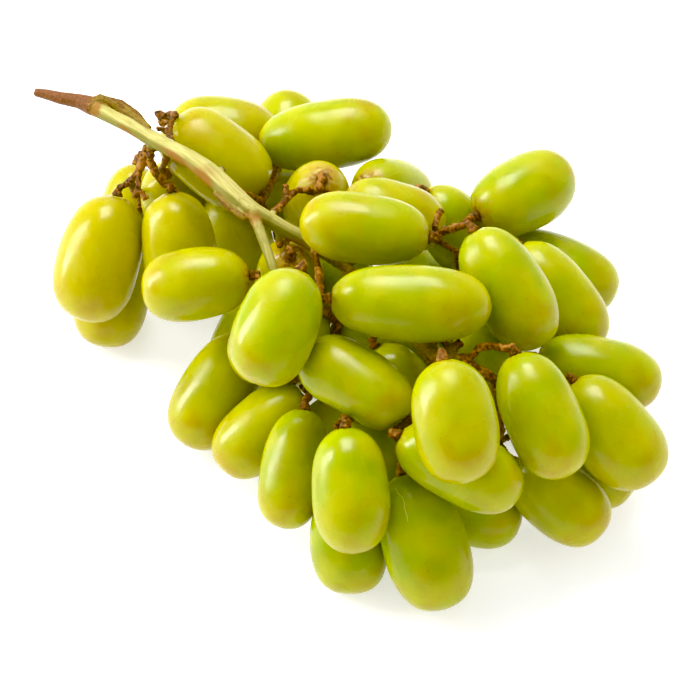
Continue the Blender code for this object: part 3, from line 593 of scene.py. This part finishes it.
def within(far, edge):
    """1 on a part, 0 away from it, and smooth between them."""
    return 1 - ease(far, *edge)


woody_far, _, _ = nearest_on(line_by_sight(WOODY_LINE), stalk_points)
rachis_far, rachis_along, rachis_offset = nearest_on(line_by_sight(RACHIS_LINE), stalk_points)
shoot_far, _, _ = nearest_on(line_by_sight(SHOOT_LINE), stalk_points)
bract_far, _, _ = nearest_on(line_by_sight(BRACT_LINE), stalk_points)
branch_far, branch_along, branch_offset = nearest_on(line_by_sight(PALE_BRANCH_LINE), stalk_points)
woody = within(woody_far, WOODY_EDGE)
shoot = np.maximum(within(shoot_far, SHOOT_EDGE), within(bract_far, BRACT_EDGE))
pale = within(rachis_far, RACHIS_EDGE) * (1 - PALENESS_LOST * ease(rachis_along, *RACHIS_BROWNS))
pale = np.maximum(pale, within(branch_far, BRANCH_EDGE) * within(branch_along, BRANCH_BROWNS))
pale *= (1 - woody) * (1 - SHOOT_DARKENS * shoot)
print("stalk: share of points that are pale", round(float((pale > 0.5).mean()), 3))

# %% [markdown]
# The rachis, the woody end and the side shoot are smooth, so they get many more rounds of
# smoothing. In the solid the rachis is a chain of straight tubes, and a grown one bends: each place
# on its middle line goes to the mean of the places near it, and takes the bark round it along.

# %% Smooth parts, and bends instead of kinks
ROUND_ROUNDS = 60
OTHER_ROUNDING = 0.7  # the share of them that the woody end and the shoot take
BEND_STEP = 0.25 * MM  # between the places on a middle line that are averaged
BEND_REACH = 4.0 * MM  # how far along the line a bend is spread
BENT_EDGE = (3.2 * MM, 5.0 * MM)  # from the middle line: where the bark begins to stay behind, and stays


def bend_from_kink(line):
    """How far each place on a line of straight runs moves when its corners become bends."""
    corners = np.concatenate(([0.0], np.cumsum(np.linalg.norm(np.diff(line, axis=0), axis=1))))
    steps = np.arange(0.0, corners[-1], BEND_STEP)
    straight = np.stack([np.interp(steps, corners, line[:, i]) for i in range(3)], axis=1)
    apart = np.abs(steps[:, None] - steps[None])
    room = 2 * np.minimum(steps, corners[-1] - steps)[:, None]  # none at the ends, which stay in place
    weights = np.exp(-(apart / BEND_REACH) ** 2) * (apart < np.maximum(room, BEND_STEP / 2))
    bent = weights @ straight / weights.sum(axis=1)[:, None]
    return steps, bent - straight


smooth_part = np.maximum(np.maximum(pale, OTHER_ROUNDING * woody), OTHER_ROUNDING * shoot)[:, None]
stalk_points += smooth_part * (even_out(stalk_points, stalk_edges, ROUND_ROUNDS) - stalk_points)
bend_steps, bend_moves = bend_from_kink(line_by_sight(RACHIS_LINE))
moved = np.stack([np.interp(rachis_along, bend_steps, bend_moves[:, i]) for i in range(3)], axis=1)
stalk_points += within(rachis_far, BENT_EDGE)[:, None] * moved
print("stalk: the bends move it by up to", round(float(np.linalg.norm(moved, axis=1).max()) / MM, 2), "mm")

# %% [markdown]
# Where the rachis was bruised or rubbed, its thin bark has gone tan. Each patch is a soft ellipse
# that lies along the rachis.

# %% Rubbed patches
RUBS = (  # across, rise and height of the middle, half the length along the rachis, half the width
    (-41.5, 46.3, 60, 7.0, 1.7), (-36.0, 43.0, 59.5, 4.0, 2.6), (-63.5, 60.0, 62.5, 1.6, 3.0),
    (-24.3, 32.6, 55.5, 2.6, 2.6), (-15.5, 28.0, 49.5, 7.0, 1.7), (-55.0, 54.6, 61.5, 4.0, 0.9),
)
RUN_START, RUN_END = 1, 8  # places on the rachis's line, which is nearly straight between them
rachis_way = line_by_sight(RACHIS_LINE)[RUN_END] - line_by_sight(RACHIS_LINE)[RUN_START]
rachis_way /= np.linalg.norm(rachis_way)
rub = np.zeros(len(stalk_points))
for across, rise_there, height, half_length, half_width in RUBS:
    apart = (stalk_points - np.array(by_sight(across, rise_there, height))) / MM
    run = apart @ rachis_way
    beside = np.linalg.norm(apart - run[:, None] * rachis_way, axis=1)
    rub = np.maximum(rub, np.exp(-(run / half_length) ** 2 - (beside / half_width) ** 2))
print("stalk: share of points that are rubbed", round(float((rub > 0.4).mean()), 3))

# %% [markdown]
# The side shoot lies against the rachis, so its inner side swells until the slit between them is
# closed. Every point of the pale bark then gets a place in the fibres' own space, which is long
# along the rachis and narrow across it.

# %% The side shoot, and places in the fibres
SHOOT_CLOSES = 1.2 * MM
INNER_SIDE_BEGINS = (2.0 * MM, 2.8 * MM)  # from the rachis's middle line
SMALLEST_FAR = 0.1 * MM  # keeps a division from blowing up on the middle line itself
FIBRE_WIDTH, FIBRE_LENGTH = 0.8, 12.0  # mm


def outward_normals(mesh, points):
    """The normals of a mesh once its points have moved."""
    mesh.vertices.foreach_set("co", points.astype(np.float32).ravel())
    mesh.update()
    normals = np.empty(len(points) * 3, np.float32)
    mesh.vertices.foreach_get("normal", normals)
    return normals.reshape(-1, 3).astype(float)


normals = outward_normals(stalk_mesh, stalk_points)
towards_rachis = -rachis_offset / np.maximum(rachis_far, SMALLEST_FAR)[:, None]
inner_side = np.clip((normals * towards_rachis).sum(axis=1), 0, 1) * ease(rachis_far, *INNER_SIDE_BEGINS)
stalk_points += (SHOOT_CLOSES * within(shoot_far, SHOOT_EDGE) * inner_side)[:, None] * towards_rachis
normals = outward_normals(stalk_mesh, stalk_points)
near_rachis = rachis_far < branch_far
fibre_places = np.where(near_rachis[:, None], rachis_offset, branch_offset) / MM / FIBRE_WIDTH
fibre_places[:, 0] += np.where(near_rachis, rachis_along, branch_along) / MM / FIBRE_LENGTH
print("shoot: share of the stalk's points that swell", round(float((inner_side * shoot > 0.1).mean()), 4))

# %% [markdown]
# The pedicels are rough: corky warts stand on them, they wander a little from their course, and
# each flares where it holds its grape. The rachis has only fine fibres. All of these are noise that
# pushes the points out along their normals, and each part of the stalk takes its own share.

# %% Fibres, warts and flares
FIBRE_HEIGHT = 0.07  # mm
WART_HEIGHT, WART_SIZE = 0.42, 0.85  # mm
WART_FOOT, WART_STEEPNESS = 0.02, 0.8  # noise below the foot gives no wart; under 1 is a steep flank
KINK_HEIGHT, KINK_SIZE = 0.28, 4.0  # mm
KINK_EVERYWHERE = 0.4  # the share that smooth bark takes too
FLARE_HEIGHT, FLARE_REACH, FLARE_LOBE = 0.16, 1.4, 0.9  # mm
WOODY_SMOOTH, SHOOT_SMOOTH = 0.85, 0.7  # how free of warts these two are
PAINTED_LIGHT_FROM = (-0.15, 0.45, 0.88)  # painted light: bark that faces this way is painted pale, and the rest gets painted shade in olive
PAINTED_LIGHT_EDGE = (-0.15, 0.9)  # cosines: where the painted light begins to show, and where it is full

stem_far = np.min([np.linalg.norm(stalk_points - np.array(stem), axis=1) for stem in stems], axis=0) / MM
# painted light: a share for each point, by how near it faces the lamps above and behind
painted_light_facing = ease(normals @ np.array(PAINTED_LIGHT_FROM), *PAINTED_LIGHT_EDGE)
rise = np.zeros(len(stalk_points))
for i, point in enumerate(stalk_points / MM):
    spot = Vector(point)
    fibre = FIBRE_HEIGHT * noise.noise(Vector(fibre_places[i]))
    wart = WART_HEIGHT * max(0.0, noise.noise(spot / WART_SIZE) - WART_FOOT) ** WART_STEEPNESS
    kink = KINK_HEIGHT * noise.noise(spot / KINK_SIZE)
    flare = FLARE_HEIGHT * math.exp(-(stem_far[i] / FLARE_REACH) ** 2) * (1 + noise.noise(spot / FLARE_LOBE))
    bare = (1 - pale[i]) * (1 - WOODY_SMOOTH * woody[i]) * (1 - SHOOT_SMOOTH * shoot[i])
    kinked = KINK_EVERYWHERE + (1 - KINK_EVERYWHERE) * bare
    rise[i] = pale[i] * fibre + bare * wart + kinked * kink + flare
stalk_points += normals * (rise * MM)[:, None]
outward_normals(stalk_mesh, stalk_points)
print("stalk: rises from", round(float(rise.min()), 2), "to", round(float(rise.max()), 2), "mm")

# %% What the finish needs to know at each point
SHARES = {"pale": pale, "woody": woody, "shoot": shoot, "rub": rub, "painted_light_facing": painted_light_facing,
          "wart": rise / WART_HEIGHT}
for name, values in SHARES.items():
    stalk_mesh.attributes.new(name, "FLOAT", "POINT").data.foreach_set("value", values.astype(np.float32))
stalk_mesh.attributes.new("fibre", "FLOAT_VECTOR", "POINT").data.foreach_set(
    "vector", fibre_places.astype(np.float32).ravel())
print("stalk: carries", ", ".join(SHARES), "and fibre")

# %% [markdown]
# The remesh gives small even faces everywhere, more than the smooth bark needs. Collapsing edges
# takes out the ones that matter least. A speck that was closed in the wood can end as two faces
# back to back, which hold nothing, and those go too.

# %% Fewer faces where the bark is smooth
KEPT_SHARE = 0.51  # of the triangles

remeshed = bpy.data.objects.new("stalk_remeshed", stalk_mesh)
bpy.context.scene.collection.objects.link(remeshed)
fewer = remeshed.modifiers.new("fewer", "DECIMATE")
fewer.ratio = KEPT_SHARE
bark_mesh = bpy.data.meshes.new_from_object(remeshed.evaluated_get(bpy.context.evaluated_depsgraph_get()))
bpy.data.objects.remove(remeshed)
bpy.data.meshes.remove(stalk_mesh)
bark_mesh.name = "stalk_bark"

shape = bmesh.new()
shape.from_mesh(bark_mesh)
same_corners = {}
for face in shape.faces:
    same_corners.setdefault(frozenset(vertex.index for vertex in face.verts), []).append(face)
flaps = [face for faces in same_corners.values() if len(faces) > 1 for face in faces]
bmesh.ops.delete(shape, geom=flaps, context="FACES")
print("bark: flat flaps taken out", len(flaps))
print("bark: edges left open", sum(not edge.is_manifold for edge in shape.edges))
shape.to_mesh(bark_mesh)
shape.free()
bark_mesh.shade_smooth()
bark = bpy.data.objects.new("stalk_bark", bark_mesh)
bpy.context.scene.collection.objects.link(bark)
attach(bark, "root")
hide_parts(STALK_NODE)
print("bark:", sum(len(face.vertices) - 2 for face in bark_mesh.polygons), "triangles with",
      [attribute.name for attribute in bark_mesh.attributes if not attribute.is_internal])

# %% [markdown]
# ## The stalk's finish
#
# A fresh rachis is green wood under a thin bark: cream, olive-green between the fibres, and tan
# where it was rubbed. Its side that faces away from the lamps gets painted shade in olive. The pedicels
# dry first and go dark brown, with paler corky warts. Both are dry, so there is no gloss and no light gets
# far in.

# %% Stalk bark
RACHIS_CREAM = "#bfb46e"
RACHIS_GREEN = "#87852f"
# painted shade for the side of the rachis that faces away from the lamps
RACHIS_PAINTED_SHADE = "#66611c"
RACHIS_TAN = "#8a5a22"
PEDICEL_BROWN = "#7c4819"
PEDICEL_DARK = "#2e1806"
WART_TAN = "#aa7534"
WOODY_PINK = "#7e4b2e"
WOODY_DARK = "#623a20"
SHOOT_BROWN = "#69401a"
SHOOT_OLIVE = "#857026"
FIBRE_FINENESS = 1.5  # waves of colour to a fibre's width
RUB_FINENESS = 0.6
FLECK_FINENESS = 1300.0  # to a metre
FLECK_DEPTH = 0.4 * MM
WOODY_SMOOTHNESS = 0.7  # how free of flecks the woody end is, next to the rachis

bark_material, tree, shader = new_material("fibrous_grape_stalk")
pale_share = add(tree, "ShaderNodeAttribute", {}, attribute_name="pale").outputs["Fac"]
woody_share = add(tree, "ShaderNodeAttribute", {}, attribute_name="woody").outputs["Fac"]
shoot_share = add(tree, "ShaderNodeAttribute", {}, attribute_name="shoot").outputs["Fac"]
rub_there = add(tree, "ShaderNodeAttribute", {}, attribute_name="rub").outputs["Fac"]
painted_light_side = add(tree, "ShaderNodeAttribute", {}, attribute_name="painted_light_facing").outputs["Fac"]
wart_rise = add(tree, "ShaderNodeAttribute", {}, attribute_name="wart").outputs["Fac"]
fibre_place = add(tree, "ShaderNodeAttribute", {}, attribute_name="fibre").outputs["Vector"]
spot = add(tree, "ShaderNodeTexCoord", {}).outputs["Object"]

fibres = add(tree, "ShaderNodeTexNoise", {"Vector": fibre_place, "Scale": FIBRE_FINENESS, "Detail": 4.0})
rachis = mix(tree, spread_out(tree, fibres.outputs["Fac"], 0.3, 0.75, 0.0, 0.75), RACHIS_CREAM, RACHIS_GREEN)
# painted shade: bark that faces away from the lamps is painted olive, and the side that faces them stays
# pale
rachis = mix(tree, spread_out(tree, painted_light_side, 0.0, 0.7, 0.75, 0.0), rachis, RACHIS_PAINTED_SHADE)
rubs = add(tree, "ShaderNodeTexNoise",
           {"Vector": fibre_place, "Scale": RUB_FINENESS, "Detail": 5.0, "Roughness": 0.6})
rub_sum = add(tree, "ShaderNodeMath", {0: rub_there, 1: rubs.outputs["Fac"]}, operation="ADD").outputs[0]
rachis = mix(tree, spread_out(tree, rub_sum, 0.62, 1.15, 0.0, 0.9), rachis, RACHIS_TAN)
flecks = add(tree, "ShaderNodeTexNoise", {"Vector": spot, "Scale": FLECK_FINENESS, "Detail": 4.0})
fleck_share = spread_out(tree, flecks.outputs["Fac"], 0.36, 0.62)
pedicel = mix(tree, fleck_share, PEDICEL_DARK, PEDICEL_BROWN)
pedicel = mix(tree, spread_out(tree, wart_rise, 0.15, 0.6, 0.0, 0.8), pedicel, WART_TAN)
wood_grain = spread_out(tree, fibres.outputs["Fac"], 0.35, 0.65)
wood = mix(tree, wood_grain, WOODY_DARK, WOODY_PINK)
shoot_skin = mix(tree, wood_grain, SHOOT_BROWN, SHOOT_OLIVE)
bark_colour = mix(tree, pale_share, pedicel, rachis)
bark_colour = mix(tree, times(tree, shoot_share, 0.85), bark_colour, shoot_skin)
bark_colour = mix(tree, woody_share, bark_colour, wood)
smooth_share = add(tree, "ShaderNodeMath", {0: pale_share, 1: times(tree, woody_share, WOODY_SMOOTHNESS)},
                   operation="ADD")
rough_share = add(tree, "ShaderNodeMath", {0: 1.0, 1: smooth_share.outputs[0]}, operation="SUBTRACT",
                  use_clamp=True).outputs[0]
fleck_height = times(tree, flecks.outputs["Fac"], spread_out(tree, rough_share, 0.0, 1.0, 0.2, 1.0))
bark_bump = add(tree, "ShaderNodeBump", {"Height": fleck_height, "Strength": 1.0, "Distance": FLECK_DEPTH})
tree.links.new(bark_colour, shader.inputs["Base Color"])
tree.links.new(bark_bump.outputs["Normal"], shader.inputs["Normal"])
shader.inputs["Roughness"].default_value = 0.55
shader.inputs["IOR"].default_value = 1.45
shader.inputs["Specular IOR Level"].default_value = 0.3
bark.data.materials.append(bark_material)
print("bark material:", len(tree.nodes), "nodes")

# %% [markdown]
# ## The table and the light
#
# The surface is plain white, and so bright that only the shadows under the bunch show on it: a
# little light of its own stands in for the lamps that light a white backdrop. A big soft light
# stands on the left and another hangs overhead, and they draw the long soft highlights.

# %% Table
TABLE_SIZE = 4.0
TABLE_WHITE = "#cfcfcf"
TABLE_GLOW = 0.55
table_shape = bmesh.new()
bmesh.ops.create_grid(table_shape, x_segments=1, y_segments=1, size=TABLE_SIZE / 2)
table_mesh = bpy.data.meshes.new("table")
table_shape.to_mesh(table_mesh)
table_shape.free()
table = bpy.data.objects.new("table", table_mesh)
bpy.context.scene.collection.objects.link(table)
table_material, tree, shader = new_material("matt_white_board")
shader.inputs["Base Color"].default_value = linear(TABLE_WHITE)
shader.inputs["Emission Color"].default_value = (1.0, 1.0, 1.0, 1.0)
shader.inputs["Emission Strength"].default_value = TABLE_GLOW
shader.inputs["Roughness"].default_value = 1.0
shader.inputs["Specular IOR Level"].default_value = 0.0
table.data.materials.append(table_material)
print("table:", TABLE_SIZE, "m wide")

# %% Lights
LIGHTS = (
    # name, direction it comes from, distance, width, height, power in watts
    ("left_softbox", (-0.90, 0.12, 0.42), 1.0, 0.30, 0.80, 10.0),
    ("overhead_softbox", (-0.05, 0.36, 0.93), 1.2, 0.55, 0.70, 12.5),
)
for name, direction, distance, width, height, power in LIGHTS:
    light = bpy.data.objects.new(name, bpy.data.lights.new(name, "AREA"))
    light.data.shape = "RECTANGLE"
    light.data.size = width
    light.data.size_y = height
    light.data.energy = power
    towards = Vector(direction).normalized()
    light.location = towards * distance
    light.rotation_euler = (-towards).to_track_quat("-Z", "Y").to_euler()
    bpy.context.scene.collection.objects.link(light)

WORLD_STRENGTH = 0.92
world = bpy.data.worlds.new("pale_room")
world.use_nodes = True
world.node_tree.nodes["Background"].inputs["Color"].default_value = (1.0, 1.0, 1.0, 1.0)
world.node_tree.nodes["Background"].inputs["Strength"].default_value = WORLD_STRENGTH
bpy.context.scene.world = world
print("lights:", len(LIGHTS), "world strength:", WORLD_STRENGTH)

# %% [markdown]
# The pale room lays a thin veil of reflected light over every grape, and on yellow-green the eye
# takes it for a haze of blue. The view's black level takes that much blue off the whole picture, as
# a photographer does when they develop one.

# %% The picture's grade
BLUE_VEIL = 0.036
grade = bpy.context.scene.view_settings
grade.view_transform = "Standard"
grade.use_curve_mapping = True
grade.curve_mapping.black_level = (0.0, 0.0, BLUE_VEIL)
grade.curve_mapping.update()
print("view:", grade.view_transform, "with a black level of", BLUE_VEIL, "on blue")
